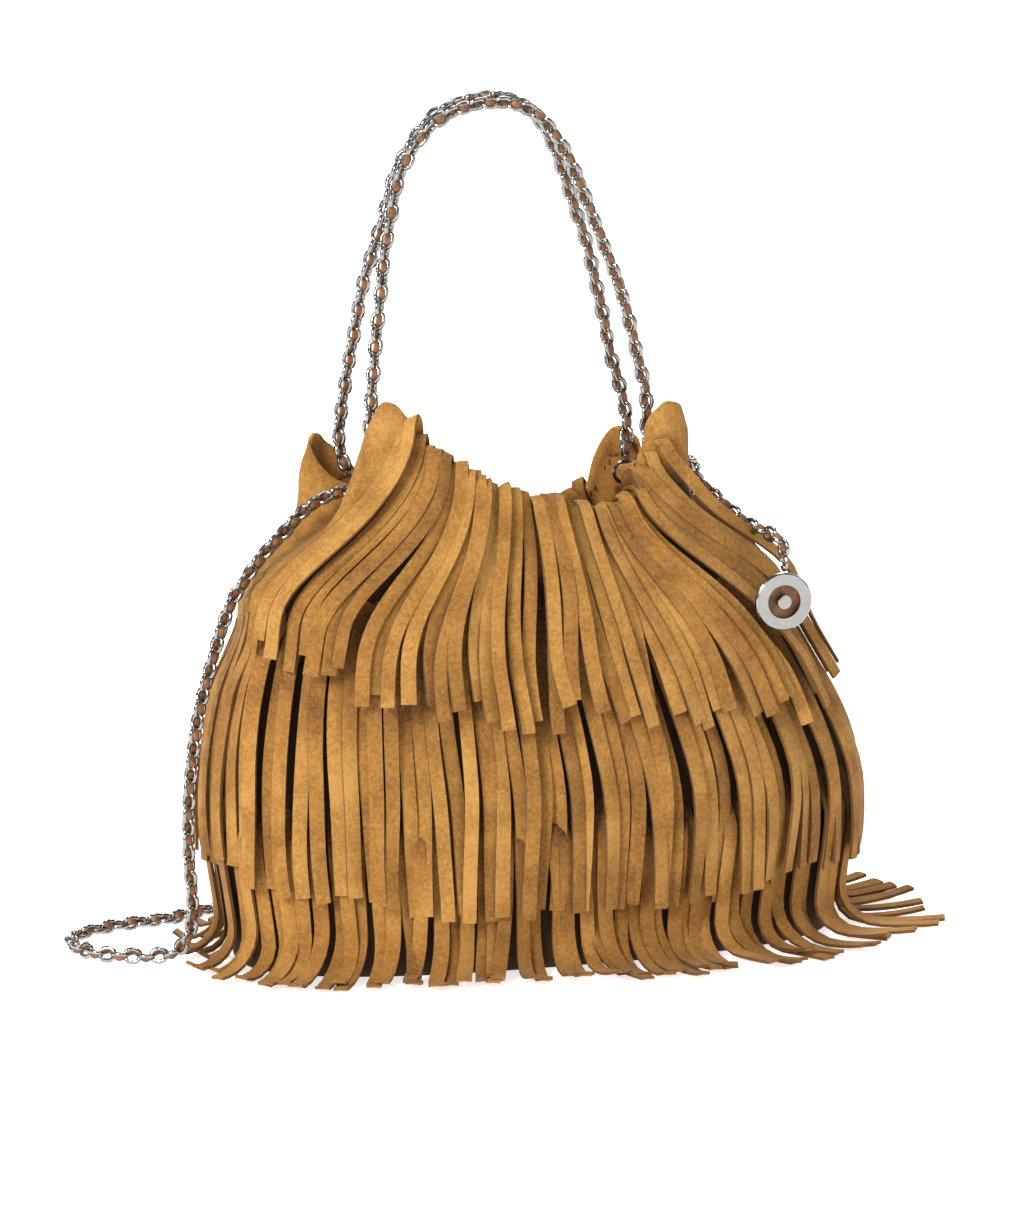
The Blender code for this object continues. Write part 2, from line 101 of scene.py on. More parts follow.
def rim_height(angle):
    """The rim's height: the front or back table, read at the place across the panel."""
    at = across(angle)
    return np.where(np.sin(angle) < 0, smooth_table(FRONT_RIM, at), smooth_table(BACK_RIM, at))


def section(z, values):
    """A section table read at a height as a smooth curve: the mean of five reads up to 12 mm up and down."""
    shifts = (-0.012, -0.006, 0.0, 0.006, 0.012)
    return np.mean([np.interp(z + shift, SECTION_Z, values) for shift in shifts], axis=0)


def body_point(angle, z, offset):
    """A point offset outwards from the body: half widths a and b of the section at z, plus the offset, times
    the signed powers of the cosine and sine of the angle, leaned in x, folded inwards at the two gussets near
    the rim and swollen at the two shoulders below."""
    swell = np.where(np.cos(angle) < 0, SHOULDER_LEFT, SHOULDER_RIGHT) * np.cos(angle) ** 2
    swell = swell * np.exp(-(((z - SHOULDER_Z) / SHOULDER_SPREAD) ** 2))
    around = np.mod(angle, 2 * math.pi)
    flare = CORNER_FLARE * np.exp(-(((around - CORNER_ANGLE) / CORNER_SPREAD) ** 2))
    flare = flare * ease((z - 0.215) / 0.040)
    flap = FLAP * np.exp(-(((around - FLAP_ANGLE) / FLAP_SPREAD) ** 2)) * ease((z - 0.205) / 0.040)
    a = section(z, HALF_WIDTH) + offset + swell + flare + flap
    b = section(z, HALF_DEPTH) + offset + flare
    lean = section(z, LEAN_X)
    c, s = np.cos(angle), np.sin(angle)
    power = 2 / ROUNDNESS
    x = a * np.sign(c) * np.abs(c) ** power
    y = b * np.sign(s) * np.abs(s) ** power
    side_angle = np.arccos(np.clip(np.abs(c), 0, 1))
    fold = ease((z - 0.185) / 0.055) * np.exp(-((side_angle / PINCH_ANGLE) ** 2))
    return np.stack([lean + x - np.sign(c) * PINCH * fold, y, z + 0 * x], axis=-1)


def unit(v):
    return v / np.maximum(np.linalg.norm(v, axis=-1, keepdims=True), 1e-12)


def smooth_noise(places, seed, scale=1.0):
    """Smooth seeded noise between about -1 and 1: five sines of rising pitch and random phase, summed."""
    rng = np.random.default_rng(seed)
    total = 0.0 * places
    for k in range(1, 6):
        total = total + np.sin(places * scale * k * rng.uniform(0.8, 1.25) + rng.uniform(0, 6.283)) / k**0.7
    return total / 2.2


def new_object(name, points, faces, slots=()):
    """A smooth-shaded object at the origin from an array of points and a list of faces."""
    mesh = bpy.data.meshes.new(name)
    mesh.from_pydata(points.reshape(-1, 3).tolist(), [], faces)
    mesh.update()
    obj = bpy.data.objects.new(name, mesh)
    bpy.context.scene.collection.objects.link(obj)
    mesh.shade_smooth()
    for material in slots:
        mesh.materials.append(material)
    return obj


def write_attribute(obj, name, values, domain="POINT"):
    layer = obj.data.attributes.new(name, "FLOAT", domain)
    layer.data.foreach_set("value", np.asarray(values, np.float32).ravel())


def ring_faces(rows, columns):
    """Quads of a grid whose columns run round a loop, as an array of corner indices."""
    index = np.arange(rows * columns).reshape(rows, columns)
    following = np.roll(index, -1, axis=1)
    quads = np.stack([index[:-1], following[:-1], following[1:], index[1:]], axis=-1)
    return quads.reshape(-1, 4)


# ---------------------------------------------------------------- node groups and materials


def new_group(name, inputs, outputs):
    """A shader node group with these sockets, each given as a name, a type and a default."""
    group = bpy.data.node_groups.new(name, "ShaderNodeTree")
    for label, kind, default in inputs:
        socket = group.interface.new_socket(name=label, in_out="INPUT", socket_type=kind)
        socket.default_value = default
    for label, kind in outputs:
        group.interface.new_socket(name=label, in_out="OUTPUT", socket_type=kind)
    return group, group.nodes.new("NodeGroupInput"), group.nodes.new("NodeGroupOutput")


def noise(tree, vector, scale, detail=4.0, roughness=0.55):
    node = tree.nodes.new("ShaderNodeTexNoise")
    node.inputs["Scale"].default_value = scale
    node.inputs["Detail"].default_value = detail
    node.inputs["Roughness"].default_value = roughness
    tree.links.new(vector, node.inputs["Vector"])
    return node.outputs["Fac"]


def math_node(tree, operation, a, b):
    node = tree.nodes.new("ShaderNodeMath")
    node.operation = operation
    for socket, value in zip(node.inputs, (a, b)):
        if isinstance(value, bpy.types.NodeSocket):
            tree.links.new(value, socket)
        else:
            socket.default_value = value
    return node.outputs[0]


def mix_colour(tree, fac, a, b):
    node = tree.nodes.new("ShaderNodeMix")
    node.data_type = "RGBA"
    for label, kind, value in (("Factor", "VALUE", fac), ("A", "RGBA", a), ("B", "RGBA", b)):
        socket = [s for s in node.inputs if s.name == label and s.type == kind][0]
        if isinstance(value, bpy.types.NodeSocket):
            tree.links.new(value, socket)
        else:
            socket.default_value = value
    return [s for s in node.outputs if s.type == "RGBA"][0]


def nap_group():
    """Suede's nap: broad brushed patches, fine mottling and short fibres, as a tone and a height."""
    if "Suede Nap" in bpy.data.node_groups:
        return bpy.data.node_groups["Suede Nap"]
    group, entry, leave = new_group(
        "Suede Nap",
        (("Vector", "NodeSocketVector", (0, 0, 0)), ("Patch Scale", "NodeSocketFloat", 45.0)),
        (("Tone", "NodeSocketFloat"), ("Height", "NodeSocketFloat")),
    )
    vector = entry.outputs["Vector"]
    patches = group.nodes.new("ShaderNodeTexNoise")
    patches.inputs["Detail"].default_value = 5.0
    group.links.new(vector, patches.inputs["Vector"])
    group.links.new(entry.outputs["Patch Scale"], patches.inputs["Scale"])
    mottle = noise(group, vector, 520.0, 4.0, 0.65)
    fibre = noise(group, vector, 1500.0, 3.0, 0.7)
    tone = math_node(group, "MULTIPLY", patches.outputs["Fac"], 0.36)
    tone = math_node(group, "ADD", tone, math_node(group, "MULTIPLY", mottle, 0.34))
    tone = math_node(group, "ADD", tone, math_node(group, "MULTIPLY", fibre, 0.30))
    halves = [math_node(group, "MULTIPLY", part, 0.5) for part in (mottle, fibre)]
    height = math_node(group, "ADD", *halves)
    group.links.new(tone, leave.inputs["Tone"])
    group.links.new(height, leave.inputs["Height"])
    return group


def place_group(tree, group, vector):
    node = tree.nodes.new("ShaderNodeGroup")
    node.node_tree = group
    tree.links.new(vector, node.inputs["Vector"])
    return node


def start_material(name):
    material = bpy.data.materials.new(name)
    material.use_nodes = True
    tree = material.node_tree
    coordinates = tree.nodes.new("ShaderNodeTexCoord")
    return material, tree, tree.nodes["Principled BSDF"], coordinates.outputs["Object"]


def add_bump(tree, shader, height, strength, distance):
    bump = tree.nodes.new("ShaderNodeBump")
    bump.inputs["Strength"].default_value = strength
    bump.inputs["Distance"].default_value = distance
    tree.links.new(height, bump.inputs["Height"])
    tree.links.new(bump.outputs["Normal"], shader.inputs["Normal"])


def ramp(tree, fac, stops):
    node = tree.nodes.new("ShaderNodeValToRGB")
    elements = node.color_ramp.elements
    while len(elements) < len(stops):
        elements.new(0.5)
    for element, (place, colour) in zip(elements, stops):
        element.position = place
        element.color = colour
    tree.links.new(fac, node.inputs["Fac"])
    return node.outputs["Color"]


def suede_material(name, dark, middle, light, cut_colour_and_painted_shadow, sheen):
    """Napped suede: a three-colour tone from the nap, shifted by each strip's own tint and by painted shade,
    and cut sides and ends darkened partly to their own colour and partly as painted shadow.
    """
    material, tree, shader, vector = start_material(name)
    nap = place_group(tree, nap_group(), vector)
    tint = tree.nodes.new("ShaderNodeAttribute")
    tint.attribute_name = "tint"
    # The tint attribute shifts the tone: each strip's own tint, plus painted shade where strips and hide lie
    # under other strips.
    shift = math_node(tree, "MULTIPLY", tint.outputs["Fac"], 0.055)
    tone = math_node(tree, "ADD", nap.outputs["Tone"], shift)
    # The lowest stop is a near-black brown for that painted shade.
    deep = tuple(0.16 * c for c in dark[:3]) + (1,)
    colour = ramp(tree, tone, ((0.24, deep), (0.40, dark), (0.50, middle), (0.61, light)))
    cut = tree.nodes.new("ShaderNodeAttribute")
    cut.attribute_name = "cut"
    # The cut sides are mixed towards a dark brown: partly the hide's own darker cut, partly painted shadow
    # between neighbouring strips.
    colour = mix_colour(tree, math_node(tree, "MULTIPLY", cut.outputs["Fac"], 0.8), colour, cut_colour_and_painted_shadow)
    tree.links.new(colour, shader.inputs["Base Color"])
    shader.inputs["Roughness"].default_value = 0.92
    shader.inputs["Specular IOR Level"].default_value = 0.25
    shader.inputs["Sheen Weight"].default_value = sheen
    shader.inputs["Sheen Roughness"].default_value = 0.45
    shader.inputs["Sheen Tint"].default_value = (1.0, 0.86, 0.62, 1)
    add_bump(tree, shader, nap.outputs["Height"], 0.75, 0.0009)
    return material


def metal_material(name, colour, roughness):
    """Polished silver: fine scratches and a faint haze lift the roughness and break up the reflections."""
    material, tree, shader, vector = start_material(name)
    haze = noise(tree, vector, 160.0, 5.0)
    scratch = noise(tree, vector, 1400.0, 2.0)
    rough = math_node(tree, "ADD", roughness - 0.05, math_node(tree, "MULTIPLY", haze, 0.14))
    tree.links.new(rough, shader.inputs["Roughness"])
    shade = ramp(tree, haze, ((0.3, tuple(c * 0.82 for c in colour[:3]) + (1,)), (0.7, colour)))
    tree.links.new(shade, shader.inputs["Base Color"])
    shader.inputs["Metallic"].default_value = 1.0
    add_bump(tree, shader, scratch, 0.05, 0.0002)
    return material


def leather_material(name, dark, light, roughness):
    """Smooth grained leather: pebbled cells for the bump, slow noise for the colour."""
    material, tree, shader, vector = start_material(name)
    grain = tree.nodes.new("ShaderNodeTexVoronoi")
    grain.inputs["Scale"].default_value = 1500.0
    tree.links.new(vector, grain.inputs["Vector"])
    tone = noise(tree, vector, 230.0, 4.0)
    tree.links.new(ramp(tree, tone, ((0.32, dark), (0.68, light))), shader.inputs["Base Color"])
    shader.inputs["Roughness"].default_value = roughness
    add_bump(tree, shader, grain.outputs["Distance"], 0.25, 0.0003)
    return material


def cloth_material(name, dark, light):
    """Plain woven lining: two crossed sets of fine waves over a slow change of tone."""
    material, tree, shader, vector = start_material(name)
    threads = []
    for direction in ("X", "Z"):
        wave = tree.nodes.new("ShaderNodeTexWave")
        wave.bands_direction = direction
        wave.inputs["Scale"].default_value = 380.0
        wave.inputs["Distortion"].default_value = 0.6
        tree.links.new(vector, wave.inputs["Vector"])
        threads.append(wave.outputs["Fac"])
    weave = math_node(tree, "MULTIPLY", *threads)
    tone = math_node(tree, "ADD", math_node(tree, "MULTIPLY", weave, 0.4), noise(tree, vector, 60.0))
    tree.links.new(ramp(tree, tone, ((0.35, dark), (0.85, light))), shader.inputs["Base Color"])
    shader.inputs["Roughness"].default_value = 0.9
    add_bump(tree, shader, weave, 0.4, 0.0003)
    return material


# Each finish's maker and its values: suede's dark, middle, light and cut-side colours and its sheen, silver's
# colour and roughness, leather's dark and light colours and roughness, and cloth's dark and light colours.
# The suede's cut-side colour is partly the hide's own and partly painted shadow between the strips.
FINISHES = {
    "tan_suede": (
        suede_material, (0.190, 0.081, 0.016, 1), (0.285, 0.131, 0.026, 1), (0.400, 0.210, 0.052, 1),
        (0.070, 0.026, 0.006, 1), 0.13),
    # A slightly darker copy of tan_suede for the lower tier: painted shade.
    "floor_suede": (
        suede_material, (0.185, 0.078, 0.015, 1), (0.275, 0.122, 0.024, 1), (0.380, 0.188, 0.044, 1),
        (0.070, 0.026, 0.006, 1), 0.12),
    "inner_suede": (
        suede_material, (0.230, 0.090, 0.018, 1), (0.370, 0.160, 0.034, 1), (0.480, 0.235, 0.060, 1),
        (0.080, 0.030, 0.007, 1), 0.16),
    "polished_silver": (metal_material, (0.31, 0.303, 0.288, 1), 0.13),
    "thong_leather": (leather_material, (0.080, 0.026, 0.006, 1), (0.210, 0.080, 0.018, 1), 0.45),
    "seam_thread": (cloth_material, (0.050, 0.020, 0.006, 1), (0.130, 0.055, 0.016, 1)),
    "lining_cloth": (cloth_material, (0.22, 0.150, 0.085, 1), (0.40, 0.290, 0.170, 1)),
    "board_fibre": (leather_material, (0.10, 0.075, 0.05, 1), (0.22, 0.165, 0.11, 1), 0.8),
}


def finish(name):
    """One of the bag's finishes, built the first time that it's asked for."""
    if name in bpy.data.materials:
        return bpy.data.materials[name]
    maker, *values = FINISHES[name]
    return maker(name, *values)


# ---------------------------------------------------------------- fringe


def ribbon_strips(name, paths, alongs, widths, thickness, tints, rolls, material):
    """Flat straps along paths. paths and alongs are strips x rows x 3; each row has six points: the two edges
    and the middle, outside and inside. The width runs along the body, square to the path and turned about it
    by the roll, and the middle stands out by a little crown. Two quads close each end."""
    strips, rows = paths.shape[:2]
    tangent = unit(np.gradient(paths, axis=1))
    side = -unit(alongs - tangent * np.sum(alongs * tangent, axis=-1, keepdims=True))
    out = unit(np.cross(side, tangent))
    turn = rolls[..., None]
    side, out = side * np.cos(turn) + out * np.sin(turn), out * np.cos(turn) - side * np.sin(turn)
    half = (widths / 2)[..., None]
    crown = 0.10 * half
    t = thickness / 2
    corners = [
        paths - side * half + out * t, paths + out * (t + crown), paths + side * half + out * t,
        paths + side * half - out * t, paths - out * (t - 0.7 * crown), paths - side * half - out * t,
    ]
    points = np.stack(corners, axis=2)
    strip_faces = ring_faces(rows, 6)
    last = (rows - 1) * 6
    caps = np.array([[0, 5, 4, 1], [1, 4, 3, 2], [0, 1, 4, 5], [1, 2, 3, 4]]) + [[0], [0], [last], [last]]
    one = np.concatenate([strip_faces, caps])
    faces = (one[None] + (np.arange(strips) * rows * 6)[:, None, None]).reshape(-1, 4)
    obj = new_object(name, points, faces.tolist(), slots=(material,))
    # The cut attribute is 1 on the side faces and 0.45 on the end caps. It darkens them partly to the hide's
    # own cut colour and partly as painted shadow.
    cut_and_shadow_faces = np.zeros(len(one))
    cut_and_shadow_faces[: len(strip_faces)] = np.tile([0, 0, 1, 0, 0, 1], rows - 1)
    cut_and_shadow_faces[len(strip_faces):] = 0.45
    write_attribute(obj, "cut", np.tile(cut_and_shadow_faces, strips), "FACE")
    # The tint attribute holds each strip's own tint plus the tier's painted shade.
    write_attribute(obj, "tint", np.repeat((tints + np.zeros((strips, rows))).ravel(), 6))
    obj.data.set_sharp_from_angle(angle=math.radians(50))
    return obj


# How far a strip may stray from its even place, as a share of the spacing.
STRIP_JITTER = 0.18


def strip_angles(start, end, count, z, seed):
    """Angles of evenly spaced strips: equal steps of arc length round the section at z, a little jittered."""
    fine = np.linspace(start, end, 400)
    points = body_point(fine, np.full(400, z), 0.0)
    length = np.concatenate([[0], np.cumsum(np.linalg.norm(np.diff(points, axis=0), axis=1))])
    rng = np.random.default_rng(seed)
    share = (np.arange(count) + 0.5 + rng.uniform(-STRIP_JITTER, STRIP_JITTER, count)) / count
    return np.interp(share * length[-1], length, fine)


def hang(angles, z, offset):
    """Points of strips on the body and the directions that run round it, from arrays of strips x rows."""
    step = 0.01
    along = body_point(angles + step, z, offset) - body_point(angles - step, z, offset)
    return body_point(angles, z, offset), unit(along)


class FringeTier:
    """One half of a tier: its strips' angles, widths, tints, layers and seeded drift and roll."""

    def __init__(self, start, end, count, spread_z, seed):
        self.rng = np.random.default_rng(seed)
        self.seed = seed
        self.count = count
        self.angle = strip_angles(start, end, count, spread_z, seed)
        self.rank = (np.arange(count) * 2 + self.rng.integers(0, 2, count)) % 3
        self.width = self.rng.uniform(0.92, 1.06, count)
        self.tint = self.rng.uniform(-1, 1, count)

    def wander(self, share, amount):
        """Sideways drift in angle that grows down the strip: a shared part plus each strip's own bend."""
        place = self.angle[:, None]
        shared = smooth_noise(place, self.seed + 5, 5.0) * share**1.5
        own = self.rng.uniform(-1, 1, (self.count, 1)) * share**2
        bend = self.rng.uniform(-1, 1, (self.count, 1)) * np.sin(share * math.pi * 1.5)
        return amount * (0.9 * shared + 0.7 * own + 0.35 * bend)

    def roll(self, share, amount):
        """The strip's turn about its own path, from one random angle at the top to another at the tip."""
        start = self.rng.uniform(-1, 1, (self.count, 1))
        end = self.rng.uniform(-1, 1, (self.count, 1))
        return amount * (start * (1 - share) + end * share)


def place_across(angle, table):
    """A table of places across a panel and values, read at an angle."""
    places, values = np.array(table).T
    return np.interp(across(angle), places, values)


# The heights of the strips' tips, by the place across the panel.
UPPER_END_FRONT = (
    (-1, 0.172), (-0.85, 0.166), (-0.6, 0.148), (-0.3, 0.137), (0.0, 0.127), (0.25, 0.134), (0.5, 0.122),
    (0.8, 0.125), (1, 0.146),
)
UPPER_END_BACK = ((-1, 0.160), (-0.5, 0.140), (0.0, 0.130), (0.5, 0.137), (1, 0.158))
MIDDLE_END = (
    (-1, 0.056), (-0.9, 0.046), (-0.7, 0.043), (-0.5, 0.036), (-0.1, 0.029), (0.4, 0.031), (0.7, 0.038),
    (1, 0.043),
)
# How far below the rim each strip of the front upper tier is cut free: its two corners stay plain.
UPPER_PLAIN = (
    (-1, 0.020), (-0.72, 0.016), (-0.62, 0.0), (0.60, 0.0), (0.70, 0.009), (0.85, 0.022), (1, 0.022),
)
# How far round, in radians, each upper strip's top lies from its end: strips fan out from the rim's middle.
UPPER_FAN = (
    (-1, 0.50), (-0.80, 0.36), (-0.50, 0.16), (-0.2, 0.03), (0.30, 0.0), (0.60, -0.16), (0.85, -0.42),
    (1, -0.62),
)
# How far the lower strips reach outwards on the floor.
FRONT_REACH = (
    (-1.0, 0.012), (-0.90, 0.020), (-0.60, 0.014), (-0.30, 0.028), (0.0, 0.033), (0.45, 0.033),
    (0.70, 0.038), (0.90, 0.045), (1.0, 0.050),
)
BACK_REACH = ((-1.0, 0.012), (-0.60, 0.012), (0.0, 0.022), (0.60, 0.026), (0.85, 0.040), (1.0, 0.050))
# Where the charm hangs and sways, as x and z, and how far the front strips lie back behind it.
CHARM_PLACE = (0.104, 0.180)
CHARM_ROOM = 0.0075
CHARM_ROOM_SPREAD = 0.028
# The upper tier's two halves in degrees, its share of a strip that climbs over the rim, and its own fullness.
UPPER_FRONT_SPAN, UPPER_BACK_SPAN = (202, 351), (6, 134)
CLIMB_SHARE = 0.10
UPPER_CLEARANCE = 0.0105
# The tops of the two lower tiers, which the tiers above cover, and how deep strips start inside the hide.
MIDDLE_TOP, LOWER_TOP = 0.188, 0.086
ROOT_DEPTH = 0.0012


def upper_tier(name, side, settings):
    """Strips that come over the rim and hang. Share s runs down a strip: for its first tenth it climbs from
    inside the rim and over it, then the height falls to the strip's end while the offset grows to clear the
    tier below and the strip swings round by its part of the fan. A strip cut free below the rim starts inside
    the hide instead. Behind the charm the front strips lie back by a bell in x and z."""
    front = side == "front"
    start, end = (math.radians(degrees) for degrees in (UPPER_FRONT_SPAN if front else UPPER_BACK_SPAN))
    tier = FringeTier(start, end, settings.upper_strips, 0.170, 11 if front else 12)
    share = np.concatenate([np.linspace(0, CLIMB_SHARE, 9), np.linspace(CLIMB_SHARE, 1, 21)[1:]])[None, :]
    angle = tier.angle[:, None]
    climb = np.clip(share / CLIMB_SHARE, 0, 1)
    fall = np.clip((share - CLIMB_SHARE) / (1 - CLIMB_SHARE), 0, 1)
    fan = place_across(angle, UPPER_FAN) * (1.0 if front else -0.6)
    angles = angle + fan * (1 - ease(fall * 1.25)) + tier.wander(fall, 0.026)
    rim = rim_height(angle + fan)
    ends = place_across(angle, UPPER_END_FRONT if front else UPPER_END_BACK)
    ends = ends + 0.008 * tier.rng.uniform(-1, 1, (tier.count, 1)) + 0.004 * smooth_noise(angle, 21, 9.0)
    plain = place_across(angle + fan, UPPER_PLAIN) if front else 0.020 * np.abs(across(angle)) ** 4
    over = plain < 0.003
    loop = tier.rng.uniform(0.0015, 0.0065, (tier.count, 1)) + 0.0010 * tier.rank[:, None]
    top_over = rim + 0.0010 + loop * np.sin(climb * math.pi) - 0.006 * (1 - climb) ** 3
    start_z = np.where(over, rim + 0.0010, rim - plain)
    climbing = share < CLIMB_SHARE
    z = np.where(over, top_over, start_z + 0.002 * (1 - climb))
    z = np.where(climbing, z, start_z + (ends - start_z) * fall)
    clear = UPPER_CLEARANCE
    if not front:
        clear = clear - 0.0045 * ease((across(angle) - 0.7) / 0.3)
    stand = 0.0015 + 0.0024 * tier.rank[:, None] + clear * ease(fall * 1.6)
    stand = stand + 0.003 * ease((across(angle) - 0.6) / 0.3) * np.sin(np.clip(fall * 1.6, 0, 1) * math.pi)
    inside = -0.0045 + (0.0045 + stand) * (1 - np.cos(climb * math.pi)) / 2
    emerging = -ROOT_DEPTH + (ROOT_DEPTH + stand) * ease(share * 4)
    offset = np.where(over, np.where(climbing, inside, stand), emerging)
    bulge = 0.0032 * np.sin(np.clip(fall * 3.2, 0, math.pi)) * over
    points, alongs = hang(angles, z, offset + bulge)
    if front:
        away = (points[..., 0] - CHARM_PLACE[0]) ** 2 + (points[..., 2] - CHARM_PLACE[1]) ** 2
        points[..., 1] += CHARM_ROOM * np.exp(-away / CHARM_ROOM_SPREAD**2)
    widths = settings.strip_width * tier.width[:, None] * (0.90 + 0.10 * fall)
    rolls = tier.roll(fall, 0.50)
    # Painted shade: strips that come over the rim are darkened on the short part inside it.
    shade = tier.tint[:, None] - 2.0 * (1 - ease(share * 25)) * over
    return ribbon_strips(
        name, points, alongs, widths, settings.suede_thickness, shade, rolls, finish("tan_suede"))


def middle_tier(name, side, settings):
    """Straight strips from under the upper tier: the height falls evenly and the offset grows at the tips."""
    front = side == "front"
    start = math.pi if front else 0.0
    tier = FringeTier(start, start + math.pi, settings.middle_strips, 0.110, 31 if front else 32)
    rows = 17
    share = np.linspace(0, 1, rows)[None, :]
    angle = tier.angle[:, None]
    ends = place_across(angle, MIDDLE_END)
    ends = ends + 0.003 * tier.rng.uniform(-1, 1, (tier.count, 1)) + 0.003 * smooth_noise(angle, 41, 8.0)
    bare = bareness(angle)
    top = MIDDLE_TOP - 0.024 * bare * tier.rng.uniform(0.3, 1.3, (tier.count, 1))
    z = top + (ends - top) * share
    wave = 0.0014 * np.sin(share * 7 + tier.rng.uniform(0, 6.3, (tier.count, 1)))
    stand = 0.0030 + 0.0025 * tier.rank[:, None] + 0.0035 * share**2 + wave * share
    offset = -ROOT_DEPTH + (ROOT_DEPTH + stand) * ease(share * (6.0 - 3.4 * bare))
    angles = angle + tier.wander(share, 0.023)
    points, alongs = hang(angles, z, offset)
    widths = settings.strip_width * tier.width[:, None]
    rolls = tier.roll(share, 0.50)
    # Painted shade: each strip's upper part, under the upper tier, is darkened, less towards the bare
    # gussets.
    shade = tier.tint[:, None] - 2.4 * (1 - ease((share - 0.25) * 3.5)) * (1 - bare) ** 2
    return ribbon_strips(
        name, points, alongs, widths, settings.suede_thickness, shade, rolls, finish("tan_suede"))


def lower_tier(name, side, settings):
    """Strips that reach the floor and lie out along it. Arc length along a strip first falls, then turns
    through a quarter circle of the bend radius, and the rest runs outwards; the tip curls up by a square."""
    front = side == "front"
    start = math.pi if front else 0.0
    tier = FringeTier(start, start + math.pi, settings.lower_strips, 0.030, 51 if front else 52)
    rows = 19
    share = np.linspace(0, 1, rows)[None, :]
    angle = tier.angle[:, None]
    reach = place_across(angle, FRONT_REACH if front else BACK_REACH)
    reach = reach + 0.006 * tier.rng.uniform(-1, 1, (tier.count, 1)) + 0.005 * smooth_noise(angle, 61, 7.0)
    bend = 0.020 + 0.006 * tier.rng.uniform(-1, 1, (tier.count, 1))
    floor = settings.suede_thickness * 0.9 + 0.0013 * tier.rank[:, None]
    drop = LOWER_TOP - bend - floor
    arc = bend * math.pi / 2
    total = drop + arc + np.maximum(reach - bend, 0.002)
    run = share * total
    turn = np.clip((run - drop) / bend, 0, math.pi / 2)
    beyond = np.clip(run - drop - arc, 0, None)
    tip = beyond / np.maximum(total - drop - arc, 0.002)
    curl = tier.rng.uniform(0.0, 0.0042, (tier.count, 1))
    z = LOWER_TOP - np.minimum(run, drop) - bend * np.sin(turn) + curl * tip**2
    stand = 0.0018 + 0.0022 * tier.rank[:, None]
    offset = -ROOT_DEPTH + (ROOT_DEPTH + stand) * ease(share * 5) + bend * (1 - np.cos(turn)) + beyond
    sweep = tier.wander(share**1.3, 0.035) + 0.05 * np.sin(angle * 2) * tip * 0.3
    angles = angle + sweep
    points, alongs = hang(angles, z, offset)
    widths = settings.strip_width * tier.width[:, None]
    rolls = tier.roll(share, 0.40) * (1 - 0.8 * ease(turn))
    # Painted shade: each strip's upper part, under the middle tier, is darkened.
    shade = tier.tint[:, None] - 4.2 * (1 - ease(share * 2.8))
    # The lower tier takes the darker copy of the suede, as painted shade.
    return ribbon_strips(
        name, points, alongs, widths, settings.suede_thickness, shade, rolls, finish("floor_suede"))


# ---------------------------------------------------------------- body


def slack(angle, z):
    """How far the hide stands off its section: two sets of folds, summed noise, that grow towards the rim."""
    folds = smooth_noise(angle * 3, 71, 3.0) * 0.0016 + smooth_noise(angle + 9 * z, 72, 6.0) * 0.0010
    return folds * ease((z - 0.10) / 0.12) - 0.0004


def bareness(angle):
    """1 at the gussets, where no upper strips hang, falling to 0 as a bell on both sides."""
    around = np.mod(angle, 2 * math.pi)
    left = np.exp(-(((around - math.radians(171)) / math.radians(33)) ** 2))
    signed = np.mod(around + math.pi, 2 * math.pi) - math.pi
    right = np.exp(-(((signed + math.radians(1)) / math.radians(17)) ** 2))
    return np.maximum(left, right)


def body_shell(name, settings):
    """The sagging suede body: the section's loop carried up to the rim, with folds that grow towards it.
    The surface is open at both ends and gets the suede's thickness inwards. Painted shade darkens it under
    the fringe."""
    columns, rows = 240, 44
    angle = np.linspace(0, 2 * math.pi, columns, endpoint=False)[None, :]
    share = np.linspace(0, 1, rows)[:, None] ** 0.9
    rim = rim_height(angle)
    z = 0.0006 + share * (rim - 0.0006)
    lip = 0.0022 * ease((share - 0.955) / 0.045)
    points = body_point(angle + 0 * z, z, slack(angle, z) - lip)
    looks = (finish("tan_suede"), finish("inner_suede"))
    obj = new_object(name, points, ring_faces(rows, columns).tolist(), slots=looks)
    # Painted shade: the tint attribute darkens the hide below where the fringe covers it, less at the bare
    # gussets.
    cover = rim - 0.020 - np.clip(bareness(angle) * 1.4, 0, 1) * (rim - 0.020 - 0.135)
    write_attribute(obj, "tint", -0.1 - 7.0 * ease((cover - z) / 0.030))
    wall = obj.modifiers.new("Suede thickness", "SOLIDIFY")
    wall.thickness = settings.suede_thickness
    wall.offset = -1
    wall.material_offset = 1
    wall.material_offset_rim = 1
    return obj


def seam_stitches(name, from_degrees, to_degrees, settings):
    """A slanting row of thread stitches on the back facing's inner side: short six-sided rods end to end."""
    count, length, radius = 15, 0.0024, 0.00035
    share = (np.arange(count) + 0.5) / count
    angle = np.radians(from_degrees + (to_degrees - from_degrees) * share)
    z = 0.208 + 0.046 * share
    depth = slack(angle, z) - settings.suede_thickness - 0.0003
    middle = body_point(angle, z, depth)
    ahead = unit(np.gradient(middle, axis=0))
    out = unit(middle - body_point(angle, z, depth - 0.004))
    side = np.cross(ahead, out)
    turn = np.linspace(0, 2 * math.pi, 6, endpoint=False)[None, None, :, None]
    ring = radius * (np.cos(turn) * side[:, None, None] + np.sin(turn) * out[:, None, None])
    place = np.array([-0.5, 0.5])[None, :, None, None] * length * ahead[:, None, None]
    place = place + middle[:, None, None]
    points = place + ring
    one = ring_faces(2, 6)
    sides = (one[None] + (np.arange(count) * 12)[:, None, None]).reshape(-1, 4)
    base = (np.arange(count) * 12)[:, None]
    ends = np.vstack([base + np.arange(6)[::-1], base + 6 + np.arange(6)])
    return new_object(name, points, sides.tolist() + ends.tolist(), slots=(finish("seam_thread"),))


# ---------------------------------------------------------------- chains


